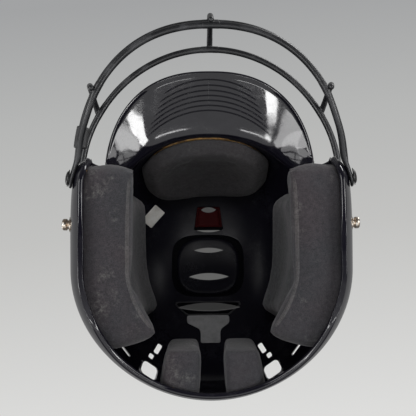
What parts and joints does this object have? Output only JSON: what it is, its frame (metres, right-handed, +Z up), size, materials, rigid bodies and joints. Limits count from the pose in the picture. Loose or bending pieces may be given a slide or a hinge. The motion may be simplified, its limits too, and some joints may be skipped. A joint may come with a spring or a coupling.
{
  "type": "batting helmet",
  "caption": "Hard-shell batting helmet with a bill, ear flaps, crown vents, foam pads, snap studs and a wire face guard.",
  "frame": {"origin": "middle of the whole helmet with its face guard, at the bottoms of the ear flaps", "axes": "+Z up towards the crown, -Y forward out of the face opening, +X towards the wearer's left"},
  "size_m": [0.2428, 0.3185, 0.215],
  "materials": {
    "shell_plastic": "glossy black moulded ABS with light scuffs",
    "pad_foam": "charcoal fabric over soft foam",
    "glue": "dried amber contact glue",
    "coated_wire": "glossy black vinyl coating on steel wire",
    "sleeve_plastic": "matte black plastic",
    "black_steel": "black coated steel",
    "nickel": "worn nickel plate",
    "red_plastic": "glossy dark red plastic",
    "white_label": "bare white adhesive label",
    "grey_label": "bare grey adhesive label"
  },
  "bodies": {
    "root": {"shell": "shell_plastic", "forehead_pad": "pad_foam", "left_jaw_pad": "pad_foam", "right_jaw_pad": "pad_foam", "left_side_pad": "pad_foam", "right_side_pad": "pad_foam", "left_rear_pad": "pad_foam", "right_rear_pad": "pad_foam", "forehead_glue": "glue", "jaw_glue": "glue", "side_glue": "glue", "rear_glue": "glue", "guard_upper_bar": "coated_wire", "guard_middle_bar": "coated_wire", "guard_chin_bar": "coated_wire", "guard_centre_upright": "coated_wire", "guard_left_upright": "coated_wire", "guard_right_upright": "coated_wire", "guard_sleeve": "sleeve_plastic", "guard_washers": "black_steel", "guard_screws": "black_steel", "guard_tee_nuts": "nickel", "left_snap_stud": "nickel", "right_snap_stud": "nickel", "snap_washers": "nickel", "snap_nuts": "nickel", "crown_vent_insert": "red_plastic", "size_label": "white_label", "inner_label": "grey_label"}
  },
  "joints": []
}
